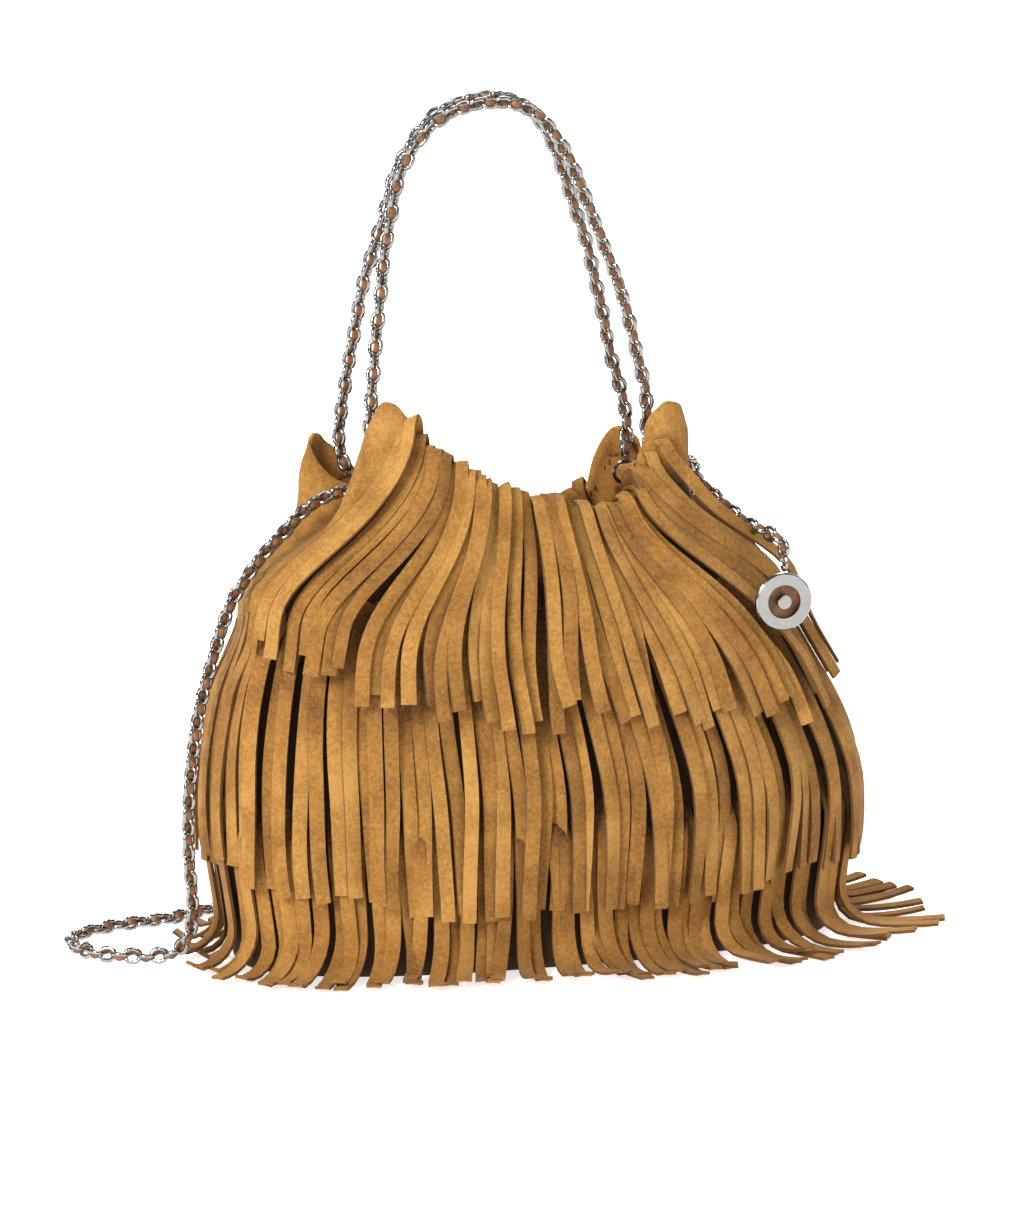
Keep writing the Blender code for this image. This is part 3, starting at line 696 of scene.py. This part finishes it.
FRONT_HANDLE_ROUTE = (
    (-0.0865, -0.0210, 0.2520), (-0.0880, -0.0240, 0.2680), (-0.0873, -0.0240, 0.2830),
    (-0.0850, -0.0210, 0.2990), (-0.0828, -0.0170, 0.3130), (-0.0789, -0.0120, 0.3350),
    (-0.0768, -0.0090, 0.3490), (-0.0731, -0.0062, 0.3660), (-0.0665, -0.0050, 0.3930),
    (-0.0520, -0.0047, 0.4135), (-0.0370, -0.0047, 0.4220), (-0.0190, -0.0047, 0.4250),
    (-0.0030, -0.0047, 0.4215), (0.0075, -0.0052, 0.4130), (0.0180, -0.0075, 0.3960),
    (0.0270, -0.0100, 0.3735), (0.0341, -0.0140, 0.3535), (0.0408, -0.0170, 0.3345),
    (0.0453, -0.0200, 0.3170), (0.0494, -0.0220, 0.2980), (0.0534, -0.0230, 0.2790),
    (0.0545, -0.0205, 0.2520),
)
BACK_HANDLE_ROUTE = (
    (-0.0880, 0.0210, 0.2400), (-0.0915, 0.0240, 0.2570), (-0.0882, 0.0220, 0.2870),
    (-0.0847, 0.0170, 0.3130), (-0.0810, 0.0120, 0.3380), (-0.0725, 0.0062, 0.3690),
    (-0.0650, 0.0050, 0.3940), (-0.0505, 0.0047, 0.4150), (-0.0365, 0.0047, 0.4235),
    (-0.0190, 0.0047, 0.4265), (-0.0035, 0.0047, 0.4230), (0.0070, 0.0052, 0.4135),
    (0.0170, 0.0075, 0.3950), (0.0258, 0.0105, 0.3710), (0.0333, 0.0140, 0.3520), (0.0395, 0.0170, 0.3300),
    (0.0447, 0.0200, 0.3110), (0.0485, 0.0220, 0.2940), (0.0531, 0.0230, 0.2800), (0.0577, 0.0235, 0.2600),
    (0.0560, 0.0205, 0.2400),
)
STRAP_ROUTE = (
    (-0.0812, 0.0000, 0.2315), (-0.0900, 0.0000, 0.2345), (-0.1020, -0.0010, 0.2335),
    (-0.1150, -0.0020, 0.2270), (-0.1262, -0.0040, 0.2170), (-0.1384, -0.0060, 0.2055),
    (-0.1475, -0.0080, 0.1945), (-0.1567, -0.0100, 0.1800), (-0.1680, -0.0120, 0.1470),
    (-0.1744, -0.0140, 0.1220), (-0.1787, -0.0160, 0.0880), (-0.1790, -0.0150, 0.0580),
    (-0.1768, -0.0120, 0.0350), (-0.1775, -0.0080, 0.0180), (-0.1835, -0.0030, 0.0075),
    (-0.1925, 0.0015, 0.0046), (-0.2055, 0.0050, 0.0046), (-0.2187, 0.0130, 0.0046),
    (-0.2265, 0.0253, 0.0046), (-0.2278, 0.0392, 0.0046), (-0.2205, 0.0520, 0.0046),
    (-0.2050, 0.0610, 0.0046), (-0.1870, 0.0655, 0.0046), (-0.1700, 0.0690, 0.0046),
    (-0.1480, 0.0800, 0.0046), (-0.1150, 0.0990, 0.0046), (-0.0700, 0.1120, 0.0046),
    (-0.0150, 0.1180, 0.0046), (0.0400, 0.1180, 0.0046), (0.0820, 0.1120, 0.0070), (0.1040, 0.1000, 0.0270),
    (0.1060, 0.0860, 0.0650), (0.1040, 0.0800, 0.1100), (0.0990, 0.0710, 0.1500), (0.0985, 0.0570, 0.1900),
    (0.0985, 0.0420, 0.2180), (0.0930, 0.0240, 0.2350), (0.0810, 0.0090, 0.2385), (0.0680, 0.0030, 0.2350),
    (0.0574, 0.0020, 0.2315),
)
CHARM_ROUTE = (
    (0.0740, -0.0060, 0.2400), (0.0830, -0.0080, 0.2345), (0.0915, -0.0125, 0.2265),
    (0.0990, -0.0220, 0.2185), (0.1055, -0.0350, 0.2130), (0.1110, -0.0480, 0.2110),
    (0.1138, -0.0570, 0.2080), (0.1142, -0.0590, 0.2004),
)
# Each chain's node, route, the direction that its thong faces at the start, and how it lies.
CHAINS = (
    ("front_handle_chain", FRONT_HANDLE_ROUTE, (0, -1, 0), "taut"),
    ("back_handle_chain", BACK_HANDLE_ROUTE, (0, -1, 0), "taut"),
    ("long_strap_chain", STRAP_ROUTE, (0, -1, 0.3), "loose"),
    ("charm_chain", CHARM_ROUTE, (0, -1, 0.3), "hanging"),
)
# Points round a link and round its wire, each link's lean, and the weave's height as a share of a link.
LINK_STEPS, WIRE_STEPS = 12, 5
LINK_LEAN = math.radians(45)
WEAVE = 0.30


def smooth_route(route, spacing):
    """Evenly spaced points along a Catmull-Rom curve through the route's points, with their arc lengths."""
    p = np.array(route, float)
    p = np.vstack([2 * p[0] - p[1], p, 2 * p[-1] - p[-2]])
    t = np.linspace(0, 1, 24, endpoint=False)[None, :, None]
    a, b, c, d = (p[i : len(p) - 3 + i][:, None] for i in range(4))
    curve = 0.5 * (2 * b + (c - a) * t + (2 * a - 5 * b + 4 * c - d) * t**2 + (3 * b - a - 3 * c + d) * t**3)
    fine = np.vstack([curve.reshape(-1, 3), p[-2]])
    length = np.concatenate([[0], np.cumsum(np.linalg.norm(np.diff(fine, axis=0), axis=1))])
    count = max(4, int(round(length[-1] / spacing)))
    at = np.linspace(0, length[-1], count + 1)
    return np.stack([np.interp(at, length, fine[:, i]) for i in range(3)], axis=1), at


def carried_frame(points, start):
    """Tangent, side and out along a path: out starts near the given direction and loses only its part along
    each new tangent, so it never spins."""
    tangent = unit(np.gradient(points, axis=0))
    out = np.empty_like(tangent)
    carried = np.array(start, float)
    for i, t in enumerate(tangent):
        carried = unit(carried - t * np.dot(carried, t))
        out[i] = carried
    return tangent, np.cross(tangent, out), out


def link_template(length, width, wire):
    """One oval link in its own x-y plane: two half circles joined by straights, swept by a round wire."""
    radius = (width - wire) / 2
    straight = (length - wire) / 2 - radius
    around = np.linspace(0, 2 * math.pi, LINK_STEPS, endpoint=False)
    outward = np.stack([np.cos(around), np.sin(around), 0 * around], axis=-1)
    centre = radius * outward
    centre[:, 0] += straight * np.sign(np.cos(around)) * np.minimum(1, 4 * np.abs(np.cos(around)))
    turn = np.linspace(0, 2 * math.pi, WIRE_STEPS, endpoint=False)
    up = np.array([0.0, 0.0, 1.0])
    round_wire = np.cos(turn)[None, :, None] * outward[:, None] + np.sin(turn)[None, :, None] * up
    return centre[:, None] + wire / 2 * round_wire


def woven_chain(name, route, facing, settings):
    """Oval links along a path, each one's plane turned 45 degrees to the other side of its neighbour's about
    the path, with a leather thong that goes over one link and under the next as a cosine of arc length."""
    points, at = smooth_route(route, 0.0011)
    tangent, side, out = carried_frame(points, facing)
    total = at[-1]
    count = int(round((total - settings.link_length) / settings.link_pitch)) + 1
    pitch = (total - settings.link_length) / (count - 1)
    centres_at = total / 2 + (np.arange(count) - (count - 1) / 2) * pitch

    def read(values, where):
        return np.stack([np.interp(where, at, values[:, i]) for i in range(3)], axis=-1)

    place = read(points, centres_at)
    t = unit(read(tangent, centres_at))
    s = unit(read(side, centres_at))
    o = unit(read(out, centres_at))
    rng = np.random.default_rng(len(name) * 7 + count)
    lean = LINK_LEAN * np.where(np.arange(count) % 2 == 0, 1.0, -1.0) + rng.uniform(-0.10, 0.10, count)
    across_link = s * np.cos(lean)[:, None] + o * np.sin(lean)[:, None]
    normal = np.cross(t, across_link)
    template = link_template(settings.link_length, settings.link_width, settings.link_wire)
    basis = np.stack([t, across_link, normal], axis=1)
    links = place[:, None, None] + np.einsum("abj,kji->kabi", template, basis)
    index = np.arange(LINK_STEPS * WIRE_STEPS).reshape(LINK_STEPS, WIRE_STEPS)
    ahead = np.roll(index, -1, axis=0)
    one = np.stack([index, ahead, np.roll(ahead, -1, axis=1), np.roll(index, -1, axis=1)], axis=-1)
    one = one.reshape(-1, 4)
    link_faces = (one[None] + (np.arange(count) * one.shape[0])[:, None, None]).reshape(-1, 4)

    weave_at = np.linspace(0.0008, total - 0.0008, int(total / (pitch / 5)))
    phase = math.pi * (weave_at - centres_at[0]) / pitch
    lift = settings.link_width * WEAVE * np.cos(phase)
    thong_s, thong_o = (unit(read(v, weave_at)) for v in (side, out))
    middle = read(points, weave_at) + thong_o * lift[:, None]
    slope = unit(np.gradient(middle, axis=0))
    face = unit(np.cross(thong_s, slope))
    half, thick = settings.thong_width / 2, settings.thong_thickness / 2
    corners = ((-half, 0.6 * thick), (-0.6 * half, thick), (0.6 * half, thick), (half, 0.6 * thick),
               (half, -0.6 * thick), (0.6 * half, -thick), (-0.6 * half, -thick), (-half, -0.6 * thick))
    thong = np.stack([middle + u * thong_s + v * face for u, v in corners], axis=1)
    rows, sides = thong.shape[:2]
    base = links.size // 3
    thong_faces = ring_faces(rows, sides)[:, ::-1] + base
    end = base + (rows - 1) * sides
    caps = [list(range(base, base + sides)), list(range(end, end + sides))[::-1]]
    everything = np.vstack([links.reshape(-1, 3), thong.reshape(-1, 3)])
    faces = link_faces.tolist() + thong_faces.tolist() + caps
    obj = new_object(name, everything, faces, slots=(finish("polished_silver"), finish("thong_leather")))
    kinds = np.ones(len(faces), np.int32)
    kinds[: len(link_faces)] = 0
    obj.data.polygons.foreach_set("material_index", kinds)
    obj.data.update()
    return obj, points, float(total)


# ---------------------------------------------------------------- sizes and colours a user may change


class SuedeBagSettings(bpy.types.PropertyGroup):
    strip_width: bpy.props.FloatProperty(
        name="Strip width", description="Width of one cut strip of fringe", default=0.0073, unit="LENGTH")
    suede_thickness: bpy.props.FloatProperty(
        name="Suede thickness", description="Thickness of the hide", default=0.0016, unit="LENGTH")
    upper_strips: bpy.props.IntProperty(
        name="Upper strips", description="Strips in one half of the upper tier", default=44, min=8)
    middle_strips: bpy.props.IntProperty(
        name="Middle strips", description="Strips in one half of the middle tier", default=52, min=8)
    lower_strips: bpy.props.IntProperty(
        name="Lower strips", description="Strips in one half of the lower tier", default=54, min=8)
    link_length: bpy.props.FloatProperty(
        name="Link length", description="Outer length of a chain link", default=0.0102, unit="LENGTH")
    link_width: bpy.props.FloatProperty(
        name="Link width", description="Outer width of a chain link", default=0.0088, unit="LENGTH")
    link_wire: bpy.props.FloatProperty(
        name="Link wire", description="Diameter of the links' wire", default=0.0024, unit="LENGTH")
    link_pitch: bpy.props.FloatProperty(
        name="Link pitch", description="Distance from one link to the next", default=0.0066, unit="LENGTH")
    thong_width: bpy.props.FloatProperty(
        name="Thong width", description="Width of the woven leather", default=0.0032, unit="LENGTH")
    thong_thickness: bpy.props.FloatProperty(
        name="Thong thickness", description="Thickness of the woven leather", default=0.0013, unit="LENGTH")


def settings_of(context):
    return context.scene.suede_bag


# The sky's brightness by the direction's height: dark bands between pale ones give the silver its contrast.
SKY_BANDS = ((0.0, 1.0), (0.10, 1.0), (0.15, 0.03), (0.42, 0.03), (0.50, 0.72), (0.72, 0.72), (0.82, 0.07))
# Each lamp's name, place, size in metres and power in watts.
LAMPS = (
    ("key", (-1.9, -1.5, 1.5), 0.9, 88.0),
    ("fill", (1.6, -1.6, 1.0), 1.5, 12.0),
    ("top", (0.0, 0.3, 2.4), 1.2, 26.0),
    ("rear", (0.9, 2.1, 1.3), 1.2, 30.0),
)


class BAG_OT_stage(bpy.types.Operator):
    """Builds the pale floor, the soft studio lights and the camera"""

    bl_idname = "bag.stage"
    bl_label = "Stage"

    def execute(self, context):
        scene = context.scene
        corners = np.array([[-6, -6, 0], [6, -6, 0], [6, 6, 0], [-6, 6, 0.0]])
        floor = new_object("studio_floor", corners, [[0, 1, 2, 3]])
        pale, _, shader, _ = start_material("pale_floor")
        shader.inputs["Base Color"].default_value = (0.92, 0.92, 0.92, 1)
        shader.inputs["Roughness"].default_value = 0.9
        shader.inputs["Emission Color"].default_value = (1, 1, 1, 1)
        shader.inputs["Emission Strength"].default_value = 0.70
        floor.data.materials.append(pale)
        world = bpy.data.worlds.new("studio")
        world.use_nodes = True
        sky = world.node_tree
        direction = sky.nodes.new("ShaderNodeTexCoord")
        parts = sky.nodes.new("ShaderNodeSeparateXYZ")
        sky.links.new(direction.outputs["Generated"], parts.inputs["Vector"])
        stops = [(place, (level, level, level, 1)) for place, level in SKY_BANDS]
        shade = ramp(sky, parts.outputs["Z"], stops)
        sky.links.new(shade, sky.nodes["Background"].inputs["Color"])
        sky.nodes["Background"].inputs["Strength"].default_value = 1.0
        scene.world = world
        for name, place, size, power in LAMPS:
            lamp = bpy.data.lights.new(name, "AREA")
            lamp.size = size
            lamp.energy = power
            obj = bpy.data.objects.new(name, lamp)
            obj.location = place
            aim = Vector((0, 0, 0.15)) - Vector(place)
            obj.rotation_euler = aim.to_track_quat("-Z", "Y").to_euler()
            scene.collection.objects.link(obj)
        turn, rise, distance = math.radians(-16), math.radians(12), 2.6
        target = Vector((-0.009, 0.0, 0.167))
        away = Vector((math.sin(turn) * math.cos(rise), -math.cos(turn) * math.cos(rise), math.sin(rise)))
        lens = bpy.data.cameras.new("camera")
        lens.lens = 152
        camera = bpy.data.objects.new("camera", lens)
        camera.location = target + away * distance
        camera.rotation_euler = (-away).to_track_quat("-Z", "Y").to_euler()
        scene.collection.objects.link(camera)
        scene.camera = camera
        scene.view_settings.view_transform = "Standard"
        return {"FINISHED"}


class BAG_OT_chains(bpy.types.Operator):
    """Builds the handles, the long strap and the charm's short chain as woven links and thong"""

    bl_idname = "bag.chains"
    bl_label = "Woven chains"

    def execute(self, context):
        settings = settings_of(context)
        for node, route, facing, lay in CHAINS:
            chain, path, length = woven_chain(node + "_links", route, facing, settings)
            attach(chain, "root")
            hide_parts(node)
        return {"FINISHED"}


class BAG_OT_body(bpy.types.Operator):
    """Builds the sagging suede body in place of the panels and gussets"""

    bl_idname = "bag.body"
    bl_label = "Suede body"

    def execute(self, context):
        body = body_shell("suede_body", settings_of(context))
        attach(body, "root")
        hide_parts("front_panel", "back_panel", "left_gusset", "right_gusset")
        for side, start, end in (("right", 52, 33), ("left", 128, 147)):
            stitches = seam_stitches(f"back_{side}_seam_stitches", start, end, settings_of(context))
            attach(stitches, "root")
        return {"FINISHED"}


class BAG_OT_fringe(bpy.types.Operator):
    """Builds the three tiers of cut fringe, front and back"""

    bl_idname = "bag.fringe"
    bl_label = "Cut fringe"

    def execute(self, context):
        settings = settings_of(context)
        for side in ("front", "back"):
            for tier, maker in (("upper", upper_tier), ("middle", middle_tier), ("lower", lower_tier)):
                node = f"{side}_{tier}_fringe"
                strips = maker(node + "_strips", side, settings)
                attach(strips, "root")
                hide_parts(node)
        return {"FINISHED"}


# What a CAD node's name holds, and its finish.
NODE_FINISHES = (
    ("_ring", "polished_silver"), ("_tab", "thong_leather"), ("charm_leather_back", "thong_leather"),
    ("charm_plate", "polished_silver"), ("charm_stud", "polished_silver"),
    ("snap_", "polished_silver"), ("lining", "lining_cloth"), ("base_board", "board_fibre"),
    ("base_panel", "tan_suede"),
)


class BAG_OT_finishes(bpy.types.Operator):
    """Gives every CAD node that stays in view its own finish"""

    bl_idname = "bag.finishes"
    bl_label = "Finishes"

    def execute(self, context):
        for name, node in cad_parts.items():
            for key, look in NODE_FINISHES:
                if key in name:
                    node.data.materials.clear()
                    node.data.materials.append(finish(look))
                    break
        return {"FINISHED"}


class BAG_PT_panel(bpy.types.Panel):
    """Lists the bag's sizes and the steps that build it"""

    bl_idname = "BAG_PT_panel"
    bl_label = "Fringed Suede Bag"
    bl_space_type = "VIEW_3D"
    bl_region_type = "UI"
    bl_category = "Suede Bag"

    def draw(self, context):
        for name in SuedeBagSettings.__annotations__:
            self.layout.prop(settings_of(context), name)
        for operator in OPERATORS:
            self.layout.operator(operator.bl_idname)


OPERATORS = (BAG_OT_stage, BAG_OT_chains, BAG_OT_body, BAG_OT_fringe, BAG_OT_finishes)
CLASSES = (SuedeBagSettings, *OPERATORS, BAG_PT_panel)


def register():
    for cls in CLASSES:
        bpy.utils.register_class(cls)
    bpy.types.Scene.suede_bag = bpy.props.PointerProperty(type=SuedeBagSettings)


def unregister():
    del bpy.types.Scene.suede_bag
    for cls in reversed(CLASSES):
        bpy.utils.unregister_class(cls)


def main():
    register()
    bpy.ops.bag.stage()
    bpy.ops.bag.chains()
    bpy.ops.bag.body()
    bpy.ops.bag.fringe()
    bpy.ops.bag.finishes()


if __name__ == "__main__":
    main()
